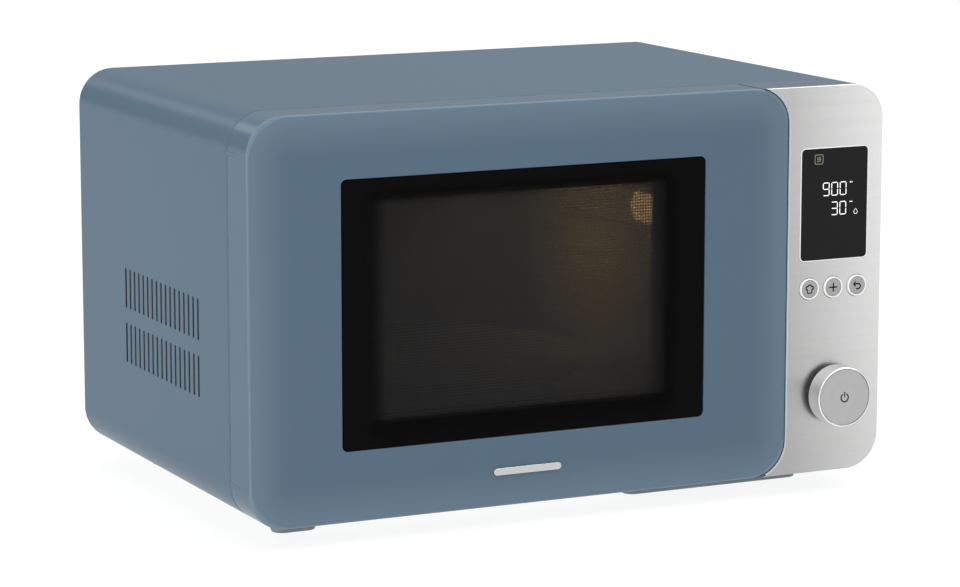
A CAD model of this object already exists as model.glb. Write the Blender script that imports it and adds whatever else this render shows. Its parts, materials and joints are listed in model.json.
# %% [markdown]
# # A countertop microwave oven
# A rounded steel casing carries a side-hinged door with a dark window, and a brushed control panel with a
# display, three buttons and a push-and-turn knob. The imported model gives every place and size, so each cell
# below asks the frame where a piece goes and then makes it look like the real thing.

# %% Load the frame
import json
import math

import bmesh
import bpy
from mathutils import Matrix, Vector

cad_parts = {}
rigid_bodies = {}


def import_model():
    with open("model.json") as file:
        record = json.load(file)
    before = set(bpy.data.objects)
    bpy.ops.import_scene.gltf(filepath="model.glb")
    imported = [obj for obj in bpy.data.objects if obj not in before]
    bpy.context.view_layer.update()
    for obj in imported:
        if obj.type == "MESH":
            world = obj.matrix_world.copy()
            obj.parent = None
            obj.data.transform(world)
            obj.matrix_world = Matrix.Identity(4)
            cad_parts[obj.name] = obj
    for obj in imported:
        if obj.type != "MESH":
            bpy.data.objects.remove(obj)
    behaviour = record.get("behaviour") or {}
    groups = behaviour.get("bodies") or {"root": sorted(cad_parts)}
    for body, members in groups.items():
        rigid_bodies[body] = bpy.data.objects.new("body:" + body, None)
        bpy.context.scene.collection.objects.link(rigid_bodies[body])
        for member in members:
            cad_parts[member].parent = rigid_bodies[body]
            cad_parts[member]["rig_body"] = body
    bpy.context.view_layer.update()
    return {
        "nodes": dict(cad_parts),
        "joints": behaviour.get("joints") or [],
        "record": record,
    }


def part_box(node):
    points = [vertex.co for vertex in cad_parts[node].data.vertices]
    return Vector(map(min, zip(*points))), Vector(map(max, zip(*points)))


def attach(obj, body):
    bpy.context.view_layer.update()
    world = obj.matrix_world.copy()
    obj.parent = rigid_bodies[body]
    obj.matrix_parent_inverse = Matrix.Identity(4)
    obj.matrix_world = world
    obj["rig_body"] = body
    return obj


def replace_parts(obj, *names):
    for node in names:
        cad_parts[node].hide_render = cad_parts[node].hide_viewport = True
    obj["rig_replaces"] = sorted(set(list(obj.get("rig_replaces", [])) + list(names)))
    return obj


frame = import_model()
nodes = frame["nodes"]
slot_of = {row["node"]: row["material_slot"] for row in frame["record"]["subparts"]}
joint_of = {joint["name"]: joint for joint in frame["joints"]}

# %% [markdown]
# ## Driving sizes
# Lengths are in metres in Blender, so a millimetre gets a name. The main edges of the oven come from the boxes
# of its nodes. Only small finishing sizes, such as edge radii, are chosen here.

# %% Sizes
MM = 0.001
CORNER = 26 * MM  # corner radius of casing, door and panel
CORNER_STEPS = 12
SHEET = 1.2 * MM

casing_low, casing_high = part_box("outer_casing")
door_low, door_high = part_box("door_shell")
panel_low, panel_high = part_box("control_fascia")
window_low, window_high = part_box("door_glass")
cavity_low, cavity_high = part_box("cavity_liner")
LEFT, RIGHT, BOTTOM, TOP = casing_low.x, casing_high.x, casing_low.z, casing_high.z
FRONT, DOOR_REAR, BACK = door_low.y, door_high.y, casing_high.y
pivot = Vector(joint_of["door_hinge"]["pos_m"])
pin_levels = [(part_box(n)[0].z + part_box(n)[1].z) / 2 for n in ("lower_hinge_pin", "upper_hinge_pin")]


def shrunk(low, high, by):
    """A box made smaller by one distance on its left, right, lower and upper sides."""
    return low + Vector((by, 0, by)), high - Vector((by, 0, by))


print("casing", [round(v / MM) for v in casing_high - casing_low], "mm")

# %% [markdown]
# ## Camera
# The camera stands to the left of the oven, a little above it, and looks down with a long lens, so that the
# upright edges stay almost parallel.

# %% Camera
CAMERA_PLACE = Vector((-1117.4, -2329.9, 580.8)) * MM
CAMERA_TURN, CAMERA_DOWN, CAMERA_LENS = 25.723, 9.807, 134.0
camera_data = bpy.data.cameras.new("camera")
camera_data.lens = CAMERA_LENS
camera_data.sensor_width = 36
camera = bpy.data.objects.new("camera", camera_data)
camera.location = CAMERA_PLACE
camera.rotation_euler = (math.radians(90 - CAMERA_DOWN), 0, math.radians(-CAMERA_TURN))
bpy.context.scene.collection.objects.link(camera)
bpy.context.scene.camera = camera
print("camera", round(CAMERA_PLACE.length, 2), "m from the oven, lens", CAMERA_LENS, "mm")

# %% [markdown]
# ## Light
# A product studio is nearly all soft light. The pale world is darker near the horizon and behind the oven,
# which keeps its top from looking milky. The standard view transform keeps the paint's colour as it is mixed.
# Every shader here is built with two helpers: one adds a node, and the other fills its sockets.

# %% World
def plug(node, values):
    """Fills a node's sockets, each with a value or with another node's output."""
    for name, value in values.items():
        if isinstance(value, bpy.types.NodeSocket):
            node.id_data.links.new(value, node.inputs[name])
        else:
            node.inputs[name].default_value = value
    return node


def add_node(tree, kind, values, operation=None):
    node = tree.nodes.new("ShaderNode" + kind)
    if operation:
        node.operation = operation
    return plug(node, values)


HORIZON, ZENITH, BEHIND = 0.42, 1.22, 0.58  # strengths, the last as a share of the rest
scene = bpy.context.scene
scene.view_settings.view_transform = "Standard"
world = bpy.data.worlds.new("studio")
world.use_nodes = True
sky = world.node_tree
look = add_node(sky, "TexCoord", {}).outputs["Generated"]
split = add_node(sky, "SeparateXYZ", {"Vector": look}).outputs
up = add_node(sky, "MapRange", {"Value": split["Z"], "From Max": 0.55, "To Min": HORIZON, "To Max": ZENITH})
rear = add_node(sky, "MapRange", {"Value": split["Y"], "From Min": 0.2, "From Max": 0.8, "To Min": 1.0,
                                  "To Max": BEHIND})
strength = add_node(sky, "Math", {0: up.outputs["Result"], 1: rear.outputs["Result"]}, "MULTIPLY")
plug(sky.nodes["Background"], {"Strength": strength.outputs["Value"], "Color": (1.0, 1.0, 1.0, 1.0)})
scene.world = world
print("world light from", HORIZON, "at the horizon to", ZENITH, "overhead")

# %% [markdown]
# One wide lamp hangs above, and weaker ones stand at the sides and behind. The last lamp is the oven's own: it
# is small and warm, and it lights the cavity's right wall.

# %% Lamps
def soft_lamp(name, place, target, size, power, colour=(1.0, 1.0, 1.0), spread=180):
    data = bpy.data.lights.new(name, "AREA")
    data.shape = "RECTANGLE"
    data.size, data.size_y = size
    data.energy = power
    data.color = colour
    data.spread = math.radians(spread)
    lamp = bpy.data.objects.new(name, data)
    lamp.location = place
    lamp.rotation_euler = (Vector(target) - Vector(place)).to_track_quat("-Z", "Y").to_euler()
    scene.collection.objects.link(lamp)


soft_lamp("overhead", (0.95, -0.3, 2.1), (0, 0, 0.2), (1.0, 1.0), 13)
soft_lamp("left_strip", (-1.15, -0.42, 0.24), (-0.2, -0.1, 0.18), (0.12, 0.44), 1.3)
soft_lamp("rear_strip", (-0.75, 2.4, 1.35), (-0.24, 0, 0.28), (0.5, 0.6), 2.0)
soft_lamp("front_fill", (-0.3, -3.2, 1.3), (0, 0, 0.15), (2.0, 1.2), 4)
soft_lamp("left_fill", (-2.4, -0.5, 0.9), (0, 0, 0.15), (1.5, 1.5), 6)
soft_lamp("cavity_glow", (-0.08, 0.02, BOTTOM + 0.20), (0.114, 0.03, BOTTOM + 0.17), (0.10, 0.10), 0.13,
          (1.0, 0.68, 0.30), 75)
print(len(bpy.data.lights), "lamps")

# %% [markdown]
# ## Finishes
# Every finish starts from the same small graph: noise in object coordinates shifts the colour and the
# roughness a little, and a finer noise lifts the surface through a bump. Stretching that noise along one axis
# turns it into brushing, and the numbers do the rest.

# %% A basic finish
def finish(name, colour, rough, metal=0.0, mottle=0.05, mottle_size=30.0, rough_spread=0.05, bump=0.03,
           bump_size=900.0, stretch=(1.0, 1.0, 1.0), specular=0.5, ior=1.5, anisotropy=0.0):
    """A procedural finish. Sizes are noise scales per metre, and stretch multiplies the coordinates."""
    material = bpy.data.materials.new(name)
    material.use_nodes = True
    tree = material.node_tree
    place = add_node(tree, "TexCoord", {}).outputs["Object"]
    place = add_node(tree, "Mapping", {"Scale": stretch, "Vector": place}).outputs["Vector"]
    noises = [add_node(tree, "TexNoise", {"Scale": size, "Detail": detail, "Vector": place})
              for size, detail in ((mottle_size, 3), (bump_size, 2))]
    coarse, fine = [noise.outputs["Fac"] for noise in noises]
    blend = tree.nodes.new("ShaderNodeMix")
    blend.data_type = "RGBA"
    plug(blend, {"A": (*[c * (1 - mottle) for c in colour], 1),
                 "B": (*[min(c * (1 + mottle), 1) for c in colour], 1), "Factor": coarse})
    spread = add_node(tree, "MapRange", {"To Min": max(rough - rough_spread, 0.02),
                                         "To Max": min(rough + rough_spread, 1), "Value": fine})
    lift = add_node(tree, "Bump", {"Strength": bump, "Distance": 0.2 * MM, "Height": fine})
    plug(tree.nodes["Principled BSDF"], {
        "Metallic": metal, "Specular IOR Level": specular, "IOR": ior, "Anisotropic": anisotropy,
        "Base Color": blend.outputs["Result"], "Roughness": spread.outputs["Result"],
        "Normal": lift.outputs["Normal"],
    })
    return material


BLUE = (0.088, 0.138, 0.188)
casing_paint = finish("casing_paint", BLUE, 0.30, mottle=0.015, bump=0.015, bump_size=1400, ior=1.14)
print("a finish has", len(casing_paint.node_tree.nodes), "nodes")

# %% [markdown]
# Some finishes need more than the basic graph. These helpers find its nodes again and add more: one changes
# the range of a value, one calculates with two values, and two of them tell where on the oven a point lies.

# %% Finish helpers
def node_of(material, kind):
    return next(node for node in material.node_tree.nodes if node.bl_idname == "ShaderNode" + kind)


def shader_of(material):
    return material.node_tree.nodes["Principled BSDF"]


def ranged(material, value, low, high, to_low, to_high, smooth=False):
    """Turns a value that runs from low to high into one that runs from to_low to to_high."""
    step = add_node(material.node_tree, "MapRange", {
        "Value": value, "From Min": low, "From Max": high, "To Min": to_low, "To Max": to_high})
    if smooth:
        step.interpolation_type = "SMOOTHSTEP"
    return step.outputs["Result"]


def calculated(material, operation, first, second):
    return add_node(material.node_tree, "Math", {0: first, 1: second}, operation).outputs["Value"]


def coordinates_of(material):
    """The object coordinates of a finish, split into X, Y and Z."""
    source = node_of(material, "TexCoord").outputs["Object"]
    return add_node(material.node_tree, "SeparateXYZ", {"Vector": source}).outputs


def outside_distance(material, low, high):
    """How far a point lies outside a rectangle in X and Z."""
    value = node_of(material, "TexCoord").outputs["Object"]
    half = (high - low) / 2
    for operation, values in (("SUBTRACT", {1: (low + high) / 2}), ("ABSOLUTE", {}),
                              ("SUBTRACT", {1: (half.x, 1.0, half.z)}), ("MAXIMUM", {1: (0.0, 0.0, 0.0)}),
                              ("LENGTH", {})):
        step = add_node(material.node_tree, "VectorMath", {0: value, **values}, operation)
        value = step.outputs["Value" if operation == "LENGTH" else "Vector"]
    return value


print("the paint's places come from its", node_of(casing_paint, "TexCoord").name)

# %% [markdown]
# ### Paint, plastics and plain metals
# The casing and the door share one satin blue-grey paint. Its orange peel is very fine, and it only shows as a
# softer edge to the highlights.

# %% Plain finishes
door_paint = finish("door_paint", BLUE, 0.22, mottle=0.015, bump=0.010, bump_size=1400, ior=1.17)
edge_paint = finish("edge_paint", [1.6 * c for c in BLUE], 0.35, mottle=0.02, bump=0.015, bump_size=1400,
                    ior=1.3)
black_plastic = finish("black_plastic", (0.014, 0.014, 0.015), 0.5, mottle=0.2, bump=0.12, bump_size=2500)
white_plastic = finish("white_plastic", (0.74, 0.72, 0.67), 0.42, mottle=0.03, bump=0.05, bump_size=1800)
foot_rubber = finish("foot_rubber", (0.19, 0.23, 0.25), 0.75, mottle=0.15, bump=0.2, bump_size=3000)
zinc_steel = finish("zinc_steel", (0.60, 0.62, 0.64), 0.34, 1.0, mottle=0.18, mottle_size=90, rough_spread=0.12)
dark_steel = finish("dark_steel", (0.03, 0.03, 0.032), 0.42, 0.3, mottle=0.15, bump=0.05, bump_size=2000)
badge_steel = finish("badge_steel", [0.55] * 3, 0.25, 1.0, mottle=0.03, rough_spread=0.04, bump=0.01)
bright_steel = finish("bright_steel", (0.86, 0.86, 0.85), 0.16, 1.0, mottle=0.03, rough_spread=0.04, bump=0.01)
grey_enamel = finish("grey_enamel", (0.36, 0.36, 0.34), 0.30, 0.0, mottle=0.03, bump=0.02, bump_size=500)
mica_sheet = finish("mica_sheet", (0.42, 0.37, 0.27), 0.55, mottle=0.35, mottle_size=260, bump=0.1)
print(len(bpy.data.materials), "materials so far")

# %% [markdown]
# The door's paint looks paler where its face curves away, and its edge catches a thin line of light. Both
# follow the outline, so the distance outside an inner rectangle places them. The front face alone has them.

# %% Paler border of the door
BORDER, PALER, LINE_GAIN = 31 * MM, (0.036, 0.042, 0.048), 0.95
LINE_START, LINE_END = BORDER - 1.6 * MM, BORDER - 0.5 * MM
FACE_START, FACE_END = FRONT + 2.4 * MM, FRONT + 4.0 * MM
reach = outside_distance(door_paint, *shrunk(door_low, door_high, BORDER))
border = ranged(door_paint, reach, 0.0, BORDER, 0.0, 1.0, smooth=True)
line = ranged(door_paint, reach, LINE_START, LINE_END, 0.0, LINE_GAIN, smooth=True)
front_only = ranged(door_paint, coordinates_of(door_paint)["Y"], FACE_START, FACE_END, 1.0, 0.0)
amount = calculated(door_paint, "MULTIPLY", calculated(door_paint, "ADD", border, line), front_only)
paint = node_of(door_paint, "Mix").outputs["Result"]
paler = add_node(door_paint.node_tree, "VectorMath", {0: PALER, 1: amount, 2: paint}, "MULTIPLY_ADD")
plug(shader_of(door_paint), {"Base Color": paler.outputs["Vector"]})
print("the door's border is", round(BORDER / MM), "mm wide")

# %% [markdown]
# ### Brushed and turned steel
# Brushing is noise squeezed hard across the strokes and drawn out along them. The panel is brushed from side to
# side. The knob's face is turned on a lathe, so its strokes follow circles: the distance from the knob's axis
# drives the noise instead of a plain coordinate.

# %% Brushed and turned steel
brushed_steel = finish("brushed_steel", (0.97, 0.97, 0.96), 0.36, 1.0, mottle=0.05, mottle_size=55,
                       rough_spread=0.10, bump=0.10, bump_size=700, stretch=(0.03, 1.0, 6.0), anisotropy=0.4)
across = ranged(brushed_steel, coordinates_of(brushed_steel)["X"], door_high.x, RIGHT, 0.50, 0.79)
upward = ranged(brushed_steel, coordinates_of(brushed_steel)["Z"], BOTTOM, TOP, 0.82, 1.12)
steel = node_of(brushed_steel, "Mix").outputs["Result"]
shaded = add_node(brushed_steel.node_tree, "VectorMath",
                  {0: steel, "Scale": calculated(brushed_steel, "MULTIPLY", across, upward)}, "SCALE")
plug(shader_of(brushed_steel), {"Base Color": shaded.outputs["Vector"]})
button_steel = finish("button_steel", [0.385] * 3, 0.40, 0.85, mottle=0.04, mottle_size=300,
                      rough_spread=0.08, bump=0.05, bump_size=1500, stretch=(0.1, 1.0, 3.0))


def turned_finish(name, colour, rough, centre, bump):
    """Fine rings round a Y axis through centre."""
    material = finish(name, colour, rough, 1.0, mottle=0.05, mottle_size=60, rough_spread=0.08, bump=bump)
    tree = material.node_tree
    mapping = plug(node_of(material, "Mapping"), {"Location": (-centre.x, 0, -centre.z)})
    split = add_node(tree, "SeparateXYZ", {"Vector": mapping.outputs["Vector"]}).outputs
    flat = add_node(tree, "CombineXYZ", {"X": split["X"], "Y": split["Z"]})
    reach = add_node(tree, "VectorMath", {0: flat.outputs["Vector"]}, "LENGTH")
    circles = add_node(tree, "CombineXYZ", {"X": reach.outputs["Value"], "Y": split["Y"]})
    for noise in [node for node in tree.nodes if node.bl_idname == "ShaderNodeTexNoise"]:
        plug(noise, {"Scale": 4 * noise.inputs["Scale"].default_value, "Vector": circles.outputs["Vector"]})
    return material


knob_axis = Vector(joint_of["knob_turn"]["pos_m"])
knob_steel = turned_finish("knob_steel", [0.93] * 3, 0.30, knob_axis, 0.06)
knob_face_steel = turned_finish("knob_face_steel", [0.46] * 3, 0.42, knob_axis, 0.03)
print("the knob's axis is", round((knob_axis.z - BOTTOM) / MM, 1), "mm above the casing's bottom")

# %% [markdown]
# ### Glass
# The window is one tinted sheet with a black printed border that fades towards the middle. A rounded
# rectangle's distance field does the fade: how far a point lies outside the clear field sets how solid the
# print is. The tray is clear glass, and the pane on the door's inner side is smoked.

# %% Glass finishes
def window_finish(name, low, high, fade, clear, printed=1.0):
    """Black glass whose opacity rises from clear to printed over the distance fade round a field."""
    material = finish(name, [0.003] * 3, 0.08, mottle=0.1, rough_spread=0.02, bump=0.0, specular=0.02)
    reach = outside_distance(material, low, high)
    plug(shader_of(material), {"Alpha": ranged(material, reach, 0.0, fade, clear, printed, smooth=True)})
    return material


def clear_finish(name, colour, alpha):
    material = finish(name, colour, 0.05, mottle=0.01, rough_spread=0.02, bump=0.004, bump_size=200)
    plug(shader_of(material), {"Alpha": alpha})
    return material


field_low = window_low + Vector((35, 0, 18)) * MM
field_high = window_high - Vector((37, 0, 21)) * MM
window_glass = window_finish("window_glass", field_low, field_high, 22 * MM, 0.45)
clear_glass = clear_finish("clear_glass", (0.80, 0.88, 0.85), 0.22)
smoked_glass = clear_finish("smoked_glass", (0.03, 0.035, 0.035), 0.14)
display_glass = finish("display_glass", (0.010, 0.010, 0.011), 0.12, mottle=0.1, rough_spread=0.03, bump=0.0,
                       specular=0.1)
print("clear field", [round(v / MM) for v in field_high - field_low], "mm")

# %% [markdown]
# ### Electrical finishes
# Copper wire, laminated iron and circuit board are bands and cells: a wave texture gives the windings and the
# laminations, and Voronoi cells give the board its islands of copper.

# %% Electrical finishes
def banded(name, colour, dark, rough, metal, scale, direction):
    """Fine straight bands across one axis, for windings, laminations and fins."""
    material = finish(name, colour, rough, metal, bump=0.0)
    place = node_of(material, "Mapping").outputs["Vector"]
    wave = add_node(material.node_tree, "TexWave", {"Scale": scale, "Vector": place})
    wave.bands_direction = direction
    bands = wave.outputs["Fac"]
    plug(node_of(material, "Mix"), {"A": (*dark, 1), "B": (*colour, 1), "Factor": bands})
    plug(node_of(material, "Bump"), {"Strength": 0.4, "Height": bands})
    return material


copper_wire = banded("copper_wire", (0.50, 0.18, 0.06), (0.16, 0.05, 0.02), 0.35, 0.9, 160, "Z")
iron_laminations = banded("iron_laminations", (0.10, 0.10, 0.11), (0.02, 0.02, 0.02), 0.45, 0.6, 260, "Y")
circuit_board = finish("circuit_board", (0.02, 0.12, 0.05), 0.4, mottle=0.1)
place = node_of(circuit_board, "Mapping").outputs["Vector"]
cells = add_node(circuit_board.node_tree, "TexVoronoi", {"Scale": 160, "Vector": place})
plug(node_of(circuit_board, "Mix"), {"B": (0.10, 0.30, 0.12, 1), "Factor": cells.outputs["Distance"]})
print("copper, iron and board made")

# %% [markdown]
# ### Light and marks
# The figures, the lamp and its window shine by themselves, so their shader also has an emission. The record
# names a slot for every node, and the last table gives each slot its finish.

# %% Glowing finishes and the table of slots
def glowing(name, colour, strength):
    material = finish(name, colour, 0.5, bump=0.0)
    plug(shader_of(material), {"Emission Color": (*colour, 1), "Emission Strength": strength})
    return material


display_light = glowing("display_light", (0.80, 0.81, 0.78), 0.7)
display_amber = glowing("display_amber", (0.30, 0.27, 0.15), 0.22)
lamp_light = glowing("lamp_light", (1.0, 0.66, 0.26), 0.8)
lamp_glow = glowing("lamp_glow", (1.0, 0.70, 0.32), 1.1)
button_white = finish("button_white", (0.93, 0.93, 0.92), 0.3, mottle=0.01, bump=0.01)
ink = finish("ink", [0.008] * 3, 0.6, mottle=0.1, bump=0.0, specular=0.1)

finish_of_slot = {
    "painted_steel": casing_paint, "painted_moulding": door_paint, "zinc_steel": zinc_steel,
    "grey_enamel": grey_enamel, "dark_steel": dark_steel, "bright_steel": bright_steel,
    "brushed_panel": brushed_steel, "button_metal": button_steel, "knob_metal": knob_steel,
    "black_glass": display_glass, "clear_glass": clear_glass, "black_plastic": black_plastic,
    "white_plastic": white_plastic, "foot_rubber": foot_rubber, "circuit_board": circuit_board,
    "copper_wire": copper_wire, "mica": mica_sheet,
}
print(len(finish_of_slot), "slots have a finish")

# %% [markdown]
# ## Modelling helpers
# Most of this oven is rounded rectangles stacked one behind another, so a ring and a loft between rings make
# the big shells. Blocks, rods and turned profiles make the rest and cut the openings.

# %% Shapes
def ring(bm, low, high, radius, y, steps, filled=False):
    """The edges of a rounded rectangle that faces along Y."""
    verts = bmesh.ops.create_grid(bm, x_segments=1, y_segments=1, size=0.5)["verts"]
    size, centre = high - low, (low + high) / 2
    turn = Matrix.Rotation(math.pi / 2, 4, "X") @ Matrix.Diagonal((size.x, size.z, 1, 1))
    bmesh.ops.transform(bm, matrix=Matrix.Translation((centre.x, y, centre.z)) @ turn, verts=verts)
    rounded = bmesh.ops.bevel(bm, geom=verts, offset=radius, offset_type="OFFSET", segments=steps,
                              profile=0.5, affect="VERTICES", material=-1)["verts"]
    face = rounded[0].link_faces[0]
    edges = list(face.edges)
    if not filled:
        bmesh.ops.delete(bm, geom=[face], context="FACES_ONLY")
    return edges


def rings(low, high, radius, path):
    """The outlines of one box, each at a point (inset, y) of a path."""
    return [(*shrunk(low, high, inset), radius - inset, y) for inset, y in path]


def loft(outlines, steps=CORNER_STEPS, closed=True):
    """Skins a row of outlines. A closed row comes back to its start and makes a wall with a hole."""
    bm = bmesh.new()
    for here, there in zip(outlines, outlines[1:] + outlines[:1] if closed else outlines[1:]):
        bmesh.ops.bridge_loops(bm, edges=ring(bm, *here, steps) + ring(bm, *there, steps))
    if not closed:
        for end in (outlines[0], outlines[-1]):
            ring(bm, *end, steps, filled=True)
    bmesh.ops.remove_doubles(bm, verts=bm.verts, dist=1e-6)
    return bm


def block(bm, low, high, radius=0.0, along="Y", steps=6):
    """A box, with the four edges along one axis rounded."""
    low, high = Vector(low), Vector(high)
    verts = bmesh.ops.create_cube(bm, size=1.0)["verts"]
    place = Matrix.Translation((low + high) / 2) @ Matrix.Diagonal((*(high - low), 1))
    bmesh.ops.transform(bm, matrix=place, verts=verts)
    if radius:
        axis = "XYZ".index(along)
        mine = set(verts)
        edges = [e for e in bm.edges if mine.issuperset(e.verts)
                 and abs((e.verts[0].co - e.verts[1].co)[axis]) > 1e-6]
        bmesh.ops.bevel(bm, geom=edges, offset=radius, offset_type="OFFSET", segments=steps,
                        profile=0.5, affect="EDGES", material=-1)
    return bm


AXES = {"X": Vector((1, 0, 0)), "Y": Vector((0, 1, 0)), "Z": Vector((0, 0, 1))}


def rod(bm, centre, radius, start, end, along="Y", sides=48):
    """A round bar along one axis, between two coordinates on it."""
    place = Vector(centre)
    place["XYZ".index(along)] = (start + end) / 2
    turn = AXES["Z"].rotation_difference(AXES[along]).to_matrix().to_4x4()
    bmesh.ops.create_cone(bm, cap_ends=True, segments=sides, radius1=radius, radius2=radius,
                          depth=abs(end - start), matrix=Matrix.Translation(place) @ turn)


def turned(profile, centre, along, steps):
    """Spins a profile of (radius, height) points, in millimetres, round an axis through centre."""
    bm = bmesh.new()
    axis = AXES[along]
    verts = [bm.verts.new(centre + AXES["X"] * (radius * MM) + axis * (height * MM))
             for radius, height in profile]
    edges = [bm.edges.new(pair) for pair in zip(verts, verts[1:])]
    bmesh.ops.spin(bm, geom=verts + edges, cent=centre, axis=axis, angle=2 * math.pi, steps=steps,
                   use_merge=True, use_normal_flip=False, use_duplicate=False)
    bmesh.ops.remove_doubles(bm, verts=bm.verts, dist=1e-7)
    return bm


print("shapes:", ", ".join(shape.__name__ for shape in (ring, loft, block, rod, turned)))

# %% [markdown]
# A carved opening is an exact boolean, because vents and cut-outs are numerous and meet curved walls. The
# finished piece then gets a small live bevel on its sharp edges, so that they catch the light, and weighted
# normals, so that flat faces stay flat beside it.

# %% Carving and finishing
def carve(bm, cutter):
    """Takes the cutter's closed blocks out of a solid."""
    pair = []
    for part in (bm, cutter):
        bmesh.ops.recalc_face_normals(part, faces=part.faces)
        mesh = bpy.data.meshes.new("carving")
        part.to_mesh(mesh)
        part.free()
        pair.append(bpy.data.objects.new("carving", mesh))
        scene.collection.objects.link(pair[-1])
    cut = pair[0].modifiers.new("cut", "BOOLEAN")
    cut.operation, cut.solver, cut.object = "DIFFERENCE", "EXACT", pair[1]
    carved = bmesh.new()
    carved.from_object(pair[0], bpy.context.evaluated_depsgraph_get())
    for leftover in pair:
        mesh = leftover.data
        bpy.data.objects.remove(leftover)
        bpy.data.meshes.remove(mesh)
    return carved


def piece(name, bm, material, body, replaces=(), bevel=0.0, angle=30.0):
    """Turns a bmesh into a finished object that rides on a body, and frees the bmesh."""
    bmesh.ops.remove_doubles(bm, verts=bm.verts, dist=1e-6)
    bmesh.ops.recalc_face_normals(bm, faces=bm.faces)
    mesh = bpy.data.meshes.new(name)
    bm.to_mesh(mesh)
    bm.free()
    mesh.shade_smooth()
    mesh.set_sharp_from_angle(angle=math.radians(angle))
    mesh.materials.append(material)
    obj = bpy.data.objects.new(name, mesh)
    scene.collection.objects.link(obj)
    if bevel:
        edge = obj.modifiers.new("soft_edges", "BEVEL")
        edge.width, edge.segments = bevel, 2
        edge.limit_method, edge.angle_limit = "ANGLE", math.radians(angle)
    obj.modifiers.new("weighted_normals", "WEIGHTED_NORMAL").keep_sharp = True
    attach(obj, body)
    if replaces:
        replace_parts(obj, *replaces)
    print(name, len(mesh.polygons), "faces")
    return obj


print("a piece is a mesh, a finish, a body and a slot")


# %% [markdown]
# ## Casing
# The real wrapper is one steel sheet folded over the top and sides, with its back edge rolled in. Rings from
# the front edge to the rolled lip and back along the inside make one closed wall. Two banks of upright slots
# let air in on the left, and one on the right.

# %% Casing
ROLL, LIP, CASING_SHEET = 6 * MM, 13 * MM, 0.6 * MM


def casing_shell():
    front = casing_low.y
    quarter = [math.radians(15 * i) for i in range(7)]
    path = [(0.0, front)]
    path += [(ROLL * (1 - math.cos(a)), BACK - ROLL + ROLL * math.sin(a)) for a in quarter]
    path += [(LIP, BACK), (LIP, BACK - CASING_SHEET)]
    inner = ROLL - CASING_SHEET
    path += [(ROLL - inner * math.cos(a), BACK - ROLL + inner * math.sin(a)) for a in reversed(quarter)]
    path += [(CASING_SHEET, front)]
    return loft(rings(casing_low, casing_high, CORNER, path))


VENT_PITCH, VENT_WIDTH, VENT_COUNT = 8.9 * MM, 2.9 * MM, 17
VENT_DEPTH = 4 * MM
VENT_LEVELS = [(76.5 * MM, 105.5 * MM), (116.5 * MM, 145.5 * MM)]
vent_middle = FRONT + 165 * MM
cutter = bmesh.new()
block(cutter, (LEFT + 30 * MM, FRONT, BOTTOM - MM), (RIGHT - 30 * MM, BACK + MM, BOTTOM + 15 * MM))
for wall, levels in ((LEFT, VENT_LEVELS), (RIGHT, VENT_LEVELS[:1])):
    for low, high in levels:
        for i in range(VENT_COUNT):
            y = vent_middle + (i - (VENT_COUNT - 1) / 2) * VENT_PITCH
            block(cutter, (wall - VENT_DEPTH, y - VENT_WIDTH / 2, BOTTOM + low),
                  (wall + VENT_DEPTH, y + VENT_WIDTH / 2, BOTTOM + high), 1.2 * MM, "X", 3)
piece("casing_shell", carve(casing_shell(), cutter), casing_paint, "cabinet", ["outer_casing"],
      bevel=0.3 * MM)

# %% [markdown]
# A narrow lip of the same paint stands in the joint between the casing and the door, so that only a fine line
# shows. A black gauze behind each bank of slots keeps insects out and makes the slots look deep.

# %% Lip and vent gauze
LIP_GAP, LIP_DEPTH = 0.25 * MM, 0.6 * MM
lip_path = [(LIP_GAP, casing_low.y), (LIP_GAP, casing_low.y - LIP_DEPTH), (SHEET, casing_low.y - LIP_DEPTH),
            (SHEET, casing_low.y)]
lip = loft(rings(casing_low, casing_high, CORNER, lip_path))
piece("seam_lip", lip, edge_paint, "cabinet")
vent_reach = VENT_COUNT * VENT_PITCH / 2 + 3 * MM
for name, x, levels in (("left_vent_gauze", LEFT + 2.4 * MM, VENT_LEVELS),
                        ("right_vent_gauze", RIGHT - 2.4 * MM, VENT_LEVELS[:1])):
    gauze = block(bmesh.new(), (x - 0.2 * MM, vent_middle - vent_reach, BOTTOM + levels[0][0] - VENT_DEPTH),
                  (x + 0.2 * MM, vent_middle + vent_reach, BOTTOM + levels[-1][1] + VENT_DEPTH))
    piece(name, gauze, black_plastic, "cabinet")

# %% [markdown]
# ## Door
# The door is a deep moulded frame. Its face isn't flat: over the outer 25 mm it falls away towards a small
# rounded edge, so the light changes softly there. Each ring below is one step of that fall, worked out from a
# parabola that meets the edge's arc without a kink.

# %% Door shell
CROWN_WIDTH, CROWN_FALL, EDGE = 25 * MM, 1.9 * MM, 1.6 * MM
DOOR_WALL, REBATE = 3 * MM, 7 * MM


def crown(distance):
    """How far the face has fallen back at a distance from the door's outline."""
    return CROWN_FALL * max(1 - distance / CROWN_WIDTH, 0) ** 2


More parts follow.
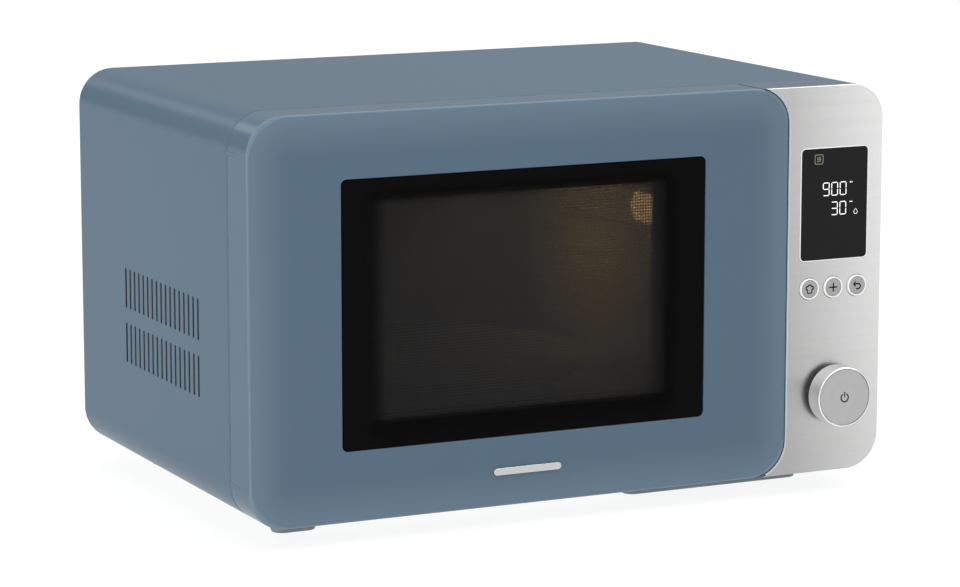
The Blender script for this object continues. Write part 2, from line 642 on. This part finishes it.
def door_body():
    slope = math.atan(2 * CROWN_FALL / CROWN_WIDTH)
    reach = math.pi / 2 - slope
    meet = EDGE * (1 - math.cos(reach))
    start = FRONT + crown(meet) + EDGE * math.sin(reach)
    turns = [reach * i / 6 for i in range(7)]
    path = [(0.6 * MM, DOOR_REAR), (0.0, DOOR_REAR - 0.6 * MM)]
    path += [(EDGE * (1 - math.cos(a)), start - EDGE * math.sin(a)) for a in turns]
    path += [(d, FRONT + crown(d)) for d in [meet + (CROWN_WIDTH - meet) * i / 9 for i in range(1, 10)]]
    rim = 0.7 * MM
    hole = [(-rim, FRONT), (-rim * 0.3, FRONT + rim * 0.3), (0.0, FRONT + rim), (0.0, FRONT + REBATE)]
    outlines = rings(door_low, door_high, CORNER, path)
    outlines += rings(*shrunk(window_low, window_high, -0.4 * MM), 4 * MM, hole)
    outlines += rings(door_low, door_high, CORNER, [(DOOR_WALL, FRONT + REBATE), (DOOR_WALL, DOOR_REAR)])
    return loft(outlines)


ARM_FRONT, ARM_HALF = pivot.y - 7.8 * MM, 1.2 * MM  # the slots of the hinge arms
cutter = bmesh.new()
for level in pin_levels:
    block(cutter, (LEFT - MM, ARM_FRONT, level - ARM_HALF),
          (pivot.x + 8 * MM, DOOR_REAR + MM, level + ARM_HALF))
piece("door_frame", carve(door_body(), cutter), door_paint, "door", ["door_shell"],
      bevel=0.2 * MM, angle=40)

# %% [markdown]
# Each hinge arm reaches into the door through a slot in its side. A painted cap on the arm fills that slot
# while the door is shut, and it stays with the casing when the door swings away.

# %% Hinge caps
PLAY = 0.04 * MM
for name, level in zip(("lower_hinge_cap", "upper_hinge_cap"), pin_levels):
    cap = block(bmesh.new(), (LEFT + 0.02 * MM, ARM_FRONT + PLAY, level - ARM_HALF + PLAY),
                (pivot.x + 1.5 * MM, DOOR_REAR - 0.05 * MM, level + ARM_HALF - PLAY))
    piece(name, cap, door_paint, "cabinet")

# %% [markdown]
# ## Window and screen
# Behind the tinted glass sits a steel screen full of small holes, which holds the microwaves in and lets
# light out. A grid is inset face by face, and the middles are deleted: real holes, thousands of them, from one
# operator. A solidify modifier then gives the sheet its thickness.

# %% Window glass
front, rear, SOFT = window_low.y, window_high.y, 0.3 * MM
glass_path = [(SOFT, front), (0.0, front + SOFT), (0.0, rear)]
glass = loft(rings(window_low, window_high, 4 * MM, glass_path), 8, closed=False)
piece("window_pane", glass, window_glass, "door", ["door_glass"])

# %% [markdown]
# The sheet ends in a pressed surround, which is folded back to the door's rear. It holds the sheet's edge, so
# the two of them take the place of one node.

# %% Screen and surround
screen_low, screen_high = shrunk(*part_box("door_inner_pane"), -0.5 * MM)
SCREEN_FRONT = FRONT + 12 * MM
HOLE_PITCH, WEB, SCREEN_MARGIN = 2.05 * MM, 0.42 * MM, 1.2 * MM
field_size = screen_high - screen_low - Vector((2, 0, 2)) * SCREEN_MARGIN
columns, rows = int(field_size.x / HOLE_PITCH), int(field_size.z / HOLE_PITCH)
bm = bmesh.new()
bmesh.ops.create_grid(bm, x_segments=columns, y_segments=rows, size=0.5)
middle = (screen_low + screen_high) / 2
turn = Matrix.Rotation(math.pi / 2, 4, "X") @ Matrix.Diagonal((field_size.x, field_size.z, 1, 1))
bmesh.ops.transform(bm, matrix=Matrix.Translation((middle.x, SCREEN_FRONT + 0.6 * MM, middle.z)) @ turn,
                    verts=bm.verts)
cells_before = list(bm.faces)
bmesh.ops.inset_individual(bm, faces=cells_before, thickness=WEB, use_even_offset=True)
bmesh.ops.delete(bm, geom=cells_before, context="FACES")
screen_steel = finish("screen_steel", (0.22, 0.22, 0.225), 0.5, 0.0, mottle=0.1, bump=0.0, specular=0.2)
sheet = piece("perforated_sheet", bm, screen_steel, "door", ["door_screen"])
sheet.modifiers.new("sheet", "SOLIDIFY").thickness = 0.4 * MM
sheet.modifiers.move(1, 0)
print(columns * rows, "holes in the screen")

flange_low, flange_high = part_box("door_screen")
flange = flange_high.y
steps = (
    (flange_low, flange_high, 0.0, 14 * MM, flange - SHEET),
    (screen_low, screen_high, -SHEET, 7 * MM, flange - SHEET),
    (screen_low, screen_high, -SHEET, 7 * MM, SCREEN_FRONT),
    (screen_low, screen_high, SCREEN_MARGIN, 2 * MM, SCREEN_FRONT),
    (screen_low, screen_high, SCREEN_MARGIN, 2 * MM, SCREEN_FRONT + SHEET),
    (screen_low, screen_high, 0.0, 6 * MM, SCREEN_FRONT + SHEET),
    (screen_low, screen_high, 0.0, 6 * MM, flange),
    (flange_low, flange_high, 0.0, 14 * MM, flange),
)
surround = loft([(*shrunk(a, b, inset), radius, y) for a, b, inset, radius, y in steps], 8)
piece("screen_surround", surround, dark_steel, "door", ["door_screen"], bevel=0.3 * MM)

# %% [markdown]
# ## Inside face of the door
# With the door open, the whole of this black moulding shows: a flat flange with a shallow channel round it,
# and slots for the latch hooks and the hinge arms.

# %% Inner cover
cover_low, cover_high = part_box("door_inner_cover")
y0, y1 = cover_low.y, cover_high.y
groove = y1 - 0.9 * MM
outer_path = [(0.0, y0), (0.0, y1), (9 * MM, y1), (10 * MM, groove), (14 * MM, groove), (15 * MM, y1)]
outlines = rings(cover_low, cover_high, 22.4 * MM, outer_path)
outlines += rings(screen_low, screen_high, 6 * MM, [(0.0, y1), (0.0, y0)])
hooks_low, hooks_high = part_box("latch_hooks")
hook_x = (hooks_low.x + hooks_high.x) / 2
hook_levels = [hooks_low.z + 14 * MM, hooks_high.z - 14 * MM]
cutter = bmesh.new()
for z in hook_levels:
    block(cutter, (hook_x - 5 * MM, y0 - MM, z - 9 * MM), (hook_x + 5 * MM, y1 + MM, z + 10 * MM), 1.5 * MM)
for level in pin_levels:
    block(cutter, (LEFT, y0 - MM, level - 2.2 * MM), (pivot.x + 9 * MM, y1 + MM, level + 2.2 * MM))
piece("inner_cover", carve(loft(outlines, 8), cutter), black_plastic, "door",
      ["door_inner_cover"], bevel=0.3 * MM)

# %% [markdown]
# ## Badge
# A plain polished bar stands where a maker would put a name.

# %% Badge
badge = block(bmesh.new(), *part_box("door_badge"), 2.4 * MM, "Y", 8)
piece("badge_bar", badge, badge_steel, "door", ["door_badge"], bevel=0.2 * MM)

# %% [markdown]
# ## Control panel
# The housing is a painted moulding, and a plate of brushed steel covers its front. Both are hollowed on the
# left to go round the door's rounded corners. That outline is easiest as a subtraction: a rounded block, less
# the door's own outline grown by the gap between them.

# %% Panel plate
PANEL_GAP, PANEL_EDGE, BEAD = 0.2 * MM, 0.9 * MM, 0.34 * MM
LENS_CORNER, BUTTON_HOLE, SHAFT_HOLE = 3.4 * MM, 8.1 * MM, 5.5 * MM
button_names = ("menu_button", "plus_button", "back_button")
lens_low, lens_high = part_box("display_lens")


def panel_block(inset, y0, y1):
    """A rounded block that reaches under the door's corners."""
    bm = block(bmesh.new(), (door_high.x - 2 * CORNER - 8 * MM, y0, BOTTOM + inset),
               (RIGHT - inset, y1, TOP - inset), CORNER - inset, "Y", CORNER_STEPS)
    front_edges = [e for e in bm.edges if all(abs(v.co.y - y0) < 1e-7 for v in e.verts)]
    bmesh.ops.bevel(bm, geom=front_edges, offset=PANEL_EDGE, offset_type="OFFSET", segments=5, profile=0.5,
                    affect="EDGES", material=-1)
    return bm


def door_clearance(extra, y0, y1):
    """A cutter with the door's outline, grown by the gap and a little extra."""
    grow = PANEL_GAP + extra
    low, high = shrunk(door_low, door_high, -grow)
    low.y, high.y = y0 - 10 * MM, y1 + 10 * MM
    return block(bmesh.new(), low, high, CORNER + grow, "Y", CORNER_STEPS)


def panel_holes(lens_margin, y0, y1):
    """A cutter for the display, the buttons and the knob's shaft."""
    low, high = shrunk(lens_low, lens_high, lens_margin)
    bm = block(bmesh.new(), (low.x, y0, low.z), (high.x, y1, high.z), LENS_CORNER, "Y", 6)
    for name in button_names:
        a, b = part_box(name)
        rod(bm, (a + b) / 2, BUTTON_HOLE, y0, y1)
    rod(bm, knob_axis, SHAFT_HOLE, y0, y1)
    return bm


plate_front, plate_rear = panel_low.y, panel_high.y
plate = carve(panel_block(0.2 * MM, plate_front, plate_rear),
              door_clearance(BEAD + 0.02 * MM, plate_front, plate_rear))
plate = carve(plate, panel_holes(-0.75 * MM, plate_front - MM, plate_rear + MM))
piece("panel_plate", plate, brushed_steel, "cabinet", ["control_fascia"], bevel=0.3 * MM)

# %% [markdown]
# A thin pale bead runs along the plate's left edge, so that the joint with the door doesn't look like a dark
# gap. It is a ring round the door, less the part of it that isn't on the panel.

# %% Bead
bead_front = plate_front + 0.12 * MM
inner, outer = -PANEL_GAP, -PANEL_GAP - BEAD
bead_path = [(inner, bead_front), (outer, bead_front), (outer, plate_rear), (inner, plate_rear)]
cutter = block(bmesh.new(), (LEFT - 5 * MM, FRONT - 5 * MM, BOTTOM - 5 * MM),
               (panel_low.x + 1.6 * MM, BACK, TOP + 5 * MM))
bead_paint = finish("bead_paint", (0.66, 0.74, 0.80), 0.45, mottle=0.02, bump=0.01)
bead = loft(rings(door_low, door_high, CORNER, bead_path))
piece("panel_bead", carve(bead, cutter), bead_paint, "cabinet")

# %% [markdown]
# The housing has the plate's outline, and it is hollow towards the rear, where the boards stand. The door's
# outline is taken out first, then the hollow, then the holes.

# %% Housing
housing_low, housing_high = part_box("control_housing")
WALL = 2.5 * MM
hollow = block(bmesh.new(), (door_high.x + PANEL_GAP + WALL, housing_low.y + WALL, BOTTOM + WALL),
               (RIGHT - WALL, housing_high.y + 2 * MM, TOP - WALL), CORNER - WALL, "Y", CORNER_STEPS)
shell = panel_block(0.0, housing_low.y, housing_high.y)
for cutter in (door_clearance(0.0, housing_low.y, housing_high.y), hollow,
               panel_holes(3.5 * MM, housing_low.y - MM, housing_low.y + WALL + MM)):
    shell = carve(shell, cutter)
piece("panel_housing", shell, door_paint, "cabinet", ["control_housing"], bevel=0.3 * MM)

# %% [markdown]
# ## Display
# The display is one block of black glass, with softened edges. A bright rim, thin as a hair, goes round it
# where the panel's steel was cut.

# %% Display glass
lens = block(bmesh.new(), lens_low, lens_high, 3 * MM, "Y", 6)
piece("display_window", lens, display_glass, "cabinet", ["display_lens"], bevel=0.25 * MM)
rim = [(-0.70, 0.0), (-0.70, -0.35), (-0.55, -0.5), (-0.15, -0.5), (-0.05, -0.4), (-0.05, 1.6), (-0.70, 1.6)]
rim_path = [(inset * MM, plate_front + y * MM) for inset, y in rim]
rim = loft(rings(lens_low, lens_high, 3 * MM, rim_path), 6)
piece("display_rim", rim, button_white, "cabinet")

# %% [markdown]
# Seven-segment figures are bars with pointed ends, and each lit bar of each figure is one small block. They
# and the little marks beside them glow softly on the black glass.

# %% Figures
SEGMENTS = {"9": "abcdfg", "0": "abcdef", "3": "abcdg"}
FIGURE_HIGH, FIGURE_WIDE, STROKE = 9.7 * MM, 5.5 * MM, 0.62 * MM
THIN = 0.05 * MM
MARK_FRONT = lens_low.y - THIN
ROWS = (("900", 0.576), ("30", 0.400))  # figures, and where their feet stand as a share of the glass's height


def bar(bm, x, z, length, upright):
    """One pointed segment, centred on x, z."""
    wide, tall = (STROKE, length) if upright else (length, STROKE)
    centre, half = Vector((x, MARK_FRONT + THIN, z)), Vector((wide / 2, THIN, tall / 2))
    block(bm, centre - half, centre + half, STROKE * 0.45, "Y", 1)


def figure(bm, digit, left, foot):
    """A digit whose lower left corner is at left, foot."""
    wide, tall = FIGURE_WIDE - STROKE, FIGURE_HIGH - STROKE
    places = {
        "a": (0.5, 1.0, False), "g": (0.5, 0.5, False), "d": (0.5, 0.0, False),
        "f": (0.0, 0.75, True), "b": (1.0, 0.75, True), "e": (0.0, 0.25, True), "c": (1.0, 0.25, True),
    }
    for name in SEGMENTS[digit]:
        across, up, upright = places[name]
        length = (tall / 2 if upright else wide) - STROKE * 0.8
        bar(bm, left + across * wide, foot + up * tall, length, upright)


bm = bmesh.new()
lens_size = lens_high - lens_low
for text, foot in ROWS:
    level = lens_low.z + lens_size.z * foot
    for place, digit in enumerate(reversed(text)):
        figure(bm, digit, lens_low.x + lens_size.x * 0.712 - (place + 1) * (FIGURE_WIDE + 1.5 * MM), level)
    for step in range(2):
        x = lens_low.x + lens_size.x * 0.738 + 1.3 * MM * step
        bar(bm, x, level + FIGURE_HIGH - MM, 1.2 * MM, text == "900")
piece("display_figures", bm, display_light, "cabinet")

# %% [markdown]
# ## Line marks
# The symbols on the display and the buttons are drawn with a pen of one width. A curve with a round bevel is
# that pen: it becomes a mesh, and then it is pressed almost flat.

# %% Line marks
def line_marks(name, paths, width, centre, material, body):
    """Strokes drawn in millimetres round a centre, on a face that looks towards -Y."""
    curve = bpy.data.curves.new(name, "CURVE")
    curve.dimensions = "3D"
    curve.bevel_depth = width / 2
    curve.bevel_resolution = 2
    curve.use_fill_caps = True
    for points, closed in paths:
        spline = curve.splines.new("POLY")
        spline.points.add(len(points) - 1)
        for point, (x, z) in zip(spline.points, points):
            point.co = (x * MM, 0, z * MM, 1)
        spline.use_cyclic_u = closed
    drawn = bpy.data.objects.new(name, curve)
    scene.collection.objects.link(drawn)
    bpy.context.view_layer.update()
    bm = bmesh.new()
    bm.from_mesh(drawn.to_mesh())
    drawn.to_mesh_clear()
    bpy.data.objects.remove(drawn)
    bpy.data.curves.remove(curve)
    press = Matrix.Translation(centre) @ Matrix.Diagonal((1, 0.15, 1, 1))
    bmesh.ops.transform(bm, matrix=press, verts=bm.verts)
    return piece(name, bm, material, body)


def arc(cx, cz, radius, start, end, count=12):
    """Points on an arc, with angles in degrees from the right, anticlockwise."""
    angles = [math.radians(start + (end - start) * i / count) for i in range(count + 1)]
    return [(cx + radius * math.cos(a), cz + radius * math.sin(a)) for a in angles]


def rounded_square(half, radius):
    corners = ((1, 1, 0), (-1, 1, 90), (-1, -1, 180), (1, -1, 270))
    return [p for sx, sz, a in corners
            for p in arc(sx * (half - radius), sz * (half - radius), radius, a, a + 90, 4)]


mode_centre = Vector((lens_low.x + lens_size.x * 0.255, MARK_FRONT, lens_low.z + lens_size.z * 0.905))
waves = [([(x, z + 0.35 * math.sin(x * 2.6)) for x in [-1.6 + 0.32 * i for i in range(11)]], False)
         for z in (-1.3, 0.0, 1.3)]
line_marks("mode_symbol", [(rounded_square(3.3, 0.9), True)] + waves, 0.38 * MM, mode_centre, display_amber,
           "cabinet")
drop_centre = Vector((lens_low.x + lens_size.x * 0.825, MARK_FRONT, lens_low.z + lens_size.z * 0.413))
drop = arc(0, 0, 1.45, -215, 35, 12) + [(0, 2.5)]
line_marks("drop_symbol", [(drop, True)], 0.32 * MM, drop_centre, display_light, "cabinet")

# %% [markdown]
# ## Buttons
# Each button is a satin disc inside a bright white ring. The disc is turned with a very shallow dish, and the
# ring is a separate moulding round it, so that the two finishes meet at a real edge.

# %% Buttons
def button(node, body, symbol):
    low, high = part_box(node)
    face = (low + high) / 2
    face.y = low.y
    cap = [(0, 0.35), (5.2, 0.25), (6.3, 0.15), (6.5, 0.4), (6.5, 7.3), (9.0, 7.3), (9.0, 7.6), (0, 7.6)]
    rim = [(6.6, 0.5), (6.7, 0.1), (7.05, 0.0), (7.5, 0.15), (7.7, 0.6), (7.7, 7.1), (6.6, 7.1), (6.6, 0.5)]
    piece(node + "_cap", turned(cap, face, "Y", 64), button_steel, body, [node])
    piece(node + "_ring", turned(rim, face, "Y", 64), button_white, body, [node])
    mark = face + Vector((0, 0.3 * MM, 0))
    line_marks(node + "_symbol", symbol, 1.1 * MM, mark, ink, body)


hat = arc(-1.75, 0.7, 1.25, 120, 265, 8) + [(-1.75, -2.9), (1.75, -2.9)] + arc(1.75, 0.7, 1.25, -85, 60, 8)
hat += arc(0, 1.5, 1.5, 25, 155, 8)
back_arrow = [([(-2.8, 1.1)] + arc(1.1, -0.7, 1.8, 90, -90, 10) + [(-0.7, -2.5)], False),
              ([(-1.1, 2.9), (-2.9, 1.1), (-1.1, -0.7)], False)]
button("menu_button", "menu_key", [(hat, True)])
button("plus_button", "plus_key", [([(-3.3, 0), (3.3, 0)], False), ([(0, -3.2), (0, 3.2)], False)])
button("back_button", "back_key", back_arrow)

# %% [markdown]
# ## Knob
# A turned steel cup with a bright chamfer, and a satin face set into it with a hair of shadow between them. It
# stands off the panel on a dark collar, which is what throws the crescent of shadow beside it.

# %% Knob
body_low, body_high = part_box("knob_body")
knob_point = Vector((knob_axis.x, body_low.y, knob_axis.z))
R = (body_high.x - body_low.x) / 2 / MM
cup = [(0, 2.1), (R - 0.85, 2.1), (R - 0.85, 0.1), (R - 0.8, 0.0), (R - 0.7, 0.0), (R - 0.05, 0.65),
       (R, 0.8), (R, 14.2), (R - 0.3, 14.5), (R - 1.8, 14.5), (R - 1.8, 5.0), (6.5, 5.0), (6.5, 11.0),
       (3.0, 11.0), (3.0, 34.0), (0, 34.0)]
disc = [(0, 0.12), (R - 1.6, 0.12), (R - 1.35, 0.2), (R - 1.25, 0.35), (R - 1.25, 1.5), (0, 1.5)]
piece("knob_cup", turned(cup, knob_point, "Y", 128), knob_steel, "knob", ["knob_body"], angle=25)
piece("knob_disc", turned(disc, knob_point, "Y", 128), knob_face_steel, "knob", ["knob_face"],
      angle=25)
power = [(arc(0, -0.4, 3.0, 122, 418, 22), False), ([(0, 0.2), (0, 3.8)], False)]
line_marks("power_symbol", power, 1.0 * MM, knob_point + Vector((0, 0.12 * MM, 0)), ink, "knob")

# %% [markdown]
# ## Oven cavity
# The liner is a deep enamelled box with rounded corners. The rings run from the back wall's fillet to the
# mouth, over the edge and back along the outside. The lamp's opening, the air outlets, the waveguide's mouth
# and the turntable's spindle hole are carved where the machine needs them.

# %% Cavity liner
def liner_shell():
    mouth, rear = cavity_low.y, cavity_high.y - SHEET
    fillet, radius = 5 * MM, 10 * MM
    inner_low, inner_high = shrunk(cavity_low, cavity_high, SHEET)
    quarter = [math.radians(90 - 18 * i) for i in range(6)]
    path = [(fillet * (1 - math.cos(a)), rear - fillet + fillet * math.sin(a)) for a in quarter]
    outlines = rings(inner_low, inner_high, radius, path + [(0.0, mouth)])
    outlines += rings(cavity_low, cavity_high, radius + SHEET, [(0.0, mouth), (0.0, cavity_high.y)])
    return loft(outlines, 8, closed=False)


lamp_low, lamp_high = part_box("lamp_holder")
lamp = (lamp_low + lamp_high) / 2
lamp.z = lamp_low.z + 10 * MM
hub = Vector(joint_of["turntable_spin"]["pos_m"])
wall = cavity_high.x
LAMP_WIDE, LAMP_HIGH = 20 * MM, 11 * MM  # half the sizes of the lamp's opening
cutter = block(bmesh.new(), (wall - 4 * MM, lamp.y - LAMP_WIDE, lamp.z - LAMP_HIGH),
               (wall + 3 * MM, lamp.y + LAMP_WIDE, lamp.z + LAMP_HIGH), 10.5 * MM, "X", 10)
for i in range(7):
    y = cavity_high.y - SHEET - (80 - 9 * i) * MM
    block(cutter, (cavity_low.x - 3 * MM, y, cavity_high.z - 46 * MM),
          (cavity_low.x + 4 * MM, y + 4 * MM, cavity_high.z - 21 * MM), 1.6 * MM, "X", 3)
guide_low, guide_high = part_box("waveguide")
block(cutter, (wall - 4 * MM, guide_low.y + 6 * MM, guide_low.z + 6 * MM),
      (wall + 3 * MM, guide_high.y - 6 * MM, guide_low.z + 48 * MM), 3 * MM, "X", 4)
rod(cutter, hub, 9 * MM, cavity_low.z - 3 * MM, cavity_low.z + 3 * MM, "Z", 40)
piece("liner", carve(liner_shell(), cutter), grey_enamel, "cabinet", ["cavity_liner"],
      bevel=0.2 * MM, angle=35)

# %% [markdown]
# The lamp shines into the cavity through a rounded opening. A sheet of frosted glass in it glows evenly, so
# the light shows as one warm patch through the door's small holes.

# %% Lamp window
wide, tall = LAMP_WIDE - 0.2 * MM, LAMP_HIGH - 0.2 * MM
sheet = block(bmesh.new(), (wall - 0.8 * MM, lamp.y - wide, lamp.z - tall),
              (wall + 0.4 * MM, lamp.y + wide, lamp.z + tall), 10.3 * MM, "X", 10)
piece("lamp_window", sheet, lamp_glow, "cabinet", bevel=0.2 * MM)

# %% [markdown]
# ## Face plate
# The pressed steel plate round the cavity's mouth meets the door. It has the latch's two slots and the slots
# of the hinge arms.

# %% Face plate
plate_low, plate_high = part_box("front_frame")
y0, y1 = plate_low.y, plate_high.y
outlines = rings(plate_low, plate_high, CORNER - 1.9 * MM, [(0.0, y1), (0.0, y0)])
outlines += rings(*shrunk(cavity_low, cavity_high, SHEET), 10 * MM, [(0.0, y0), (0.0, y1)])
cutter = bmesh.new()
for z in hook_levels:
    block(cutter, (hook_x - 6 * MM, y0 - MM, z - 12 * MM), (hook_x + 6 * MM, y1 + MM, z + 10 * MM), 1.5 * MM,
          "Y", 4)
for level in pin_levels:
    block(cutter, (LEFT, y0 - MM, level - 2 * MM), (pivot.x + 4 * MM, y1 + MM, level + 2 * MM))
piece("face_plate", carve(loft(outlines, 10), cutter), grey_enamel, "cabinet",
      ["front_frame"], bevel=0.25 * MM)

# %% [markdown]
# ## Turntable
# The tray is pressed glass with a raised rim and a shallow ring inside it. It turns on a three-lobed hub and on
# three small wheels in a carrying ring.

# %% Glass tray
tray_low, tray_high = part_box("glass_tray")
T = (tray_high.x - tray_low.x) / 2 / MM
foot = Vector((hub.x, hub.y, tray_low.z + 4 * MM))
tray = [(0, 0), (T - 24, 0), (T - 14, 1.6), (T - 6, 5), (T - 0.3, 10.8), (T, 11.8), (T - 0.5, 12.8),
        (T - 1.5, 13), (T - 3, 12), (T - 9, 8.4), (T - 17, 5.6), (T - 25, 4.6), (T - 60, 4.6), (T - 61, 4.0),
        (T - 63, 4.0), (T - 64, 4.6), (0, 4.6)]
piece("tray", turned(tray, foot, "Z", 128), clear_glass, "turntable", ["glass_tray"], angle=40)

# %% [markdown]
# ## Front feet
# Two moulded bars with fully rounded ends hold the front up. The long one stands under the heavy right side.
# Their soles are a little smaller than their tops, because a moulded part needs a draft.

# %% Front feet
for node in ("front_left_foot", "front_right_foot"):
    low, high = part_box(node)
    bm = block(bmesh.new(), low, high, 8.8 * MM, "Z", 10)
    sole = [v for v in bm.verts if v.co.z < (low.z + high.z) / 2]
    anchor = Matrix.Translation((-high.x, -low.y, 0))
    bmesh.ops.scale(bm, vec=(1 - 4.4 * MM / (high.x - low.x), 0.8, 1), space=anchor, verts=sole)
    name = node.replace("front_", "") + "_bar"
    piece(name, bm, foot_rubber, "cabinet", [node], bevel=1.0 * MM)
print("front feet", round((high.z - low.z) / MM, 1), "mm high")

# %% [markdown]
# ## The other pieces
# The rest of the machine already has the right shape in the frame. Each node's mesh is copied, its coplanar
# triangles are merged into clean faces, and its sharp edges are softened. Their finishes come from the record's
# slots, with a few better ones where the slot is too general.

# %% Fine copies of the remaining nodes
special_finish = {
    "transformer_core": iron_laminations, "lamp_bulb": lamp_light, "door_inner_pane": smoked_glass,
    "rear_panel": casing_paint,
}
edge_of = {"rear_spacer": 0.8, "rear_left_foot": 0.8, "rear_right_foot": 0.8, "capacitor": 0.8,
           "turntable_hub": 0.5, "fan_impeller": 0.2}  # widths in millimetres


def fine_copy(node):
    """Makes a clean, soft-edged piece from a node's own mesh."""
    bm = bmesh.new()
    bm.from_mesh(nodes[node].data)
    bmesh.ops.remove_doubles(bm, verts=bm.verts, dist=1e-6)
    bmesh.ops.dissolve_limit(bm, angle_limit=math.radians(0.5), use_dissolve_boundaries=False,
                             verts=bm.verts, edges=bm.edges)
    slot = slot_of[node]
    piece("fine_" + node, bm, special_finish.get(node, finish_of_slot[slot]), nodes[node]["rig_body"],
          [node], bevel=edge_of.get(node, 0.25) * MM, angle=32)


replaced = {name for obj in scene.objects if "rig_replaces" in obj for name in obj["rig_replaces"]}
for node in sorted(set(nodes) - replaced):
    fine_copy(node)
print(len(set(nodes) - replaced), "fine copies")

# %% [markdown]
# ## Floor
# A wide pale sheet, which isn't part of the oven. It glows a little by itself, like a light table, so the
# shadow under the oven stays faint.

# %% Floor
floor_finish = finish("floor_finish", [0.15] * 3, 0.7, mottle=0.005, mottle_size=2, bump=0.0, specular=0.1)
plug(shader_of(floor_finish), {"Emission Color": (1.0, 1.0, 1.0, 1.0), "Emission Strength": 0.88})
bm = bmesh.new()
bmesh.ops.create_circle(bm, cap_ends=True, segments=64, radius=14.0)
mesh = bpy.data.meshes.new("floor")
bm.to_mesh(mesh)
bm.free()
mesh.materials.append(floor_finish)
floor = bpy.data.objects.new("floor", mesh)
scene.collection.objects.link(floor)
print("the floor is", floor.dimensions.x, "m across")
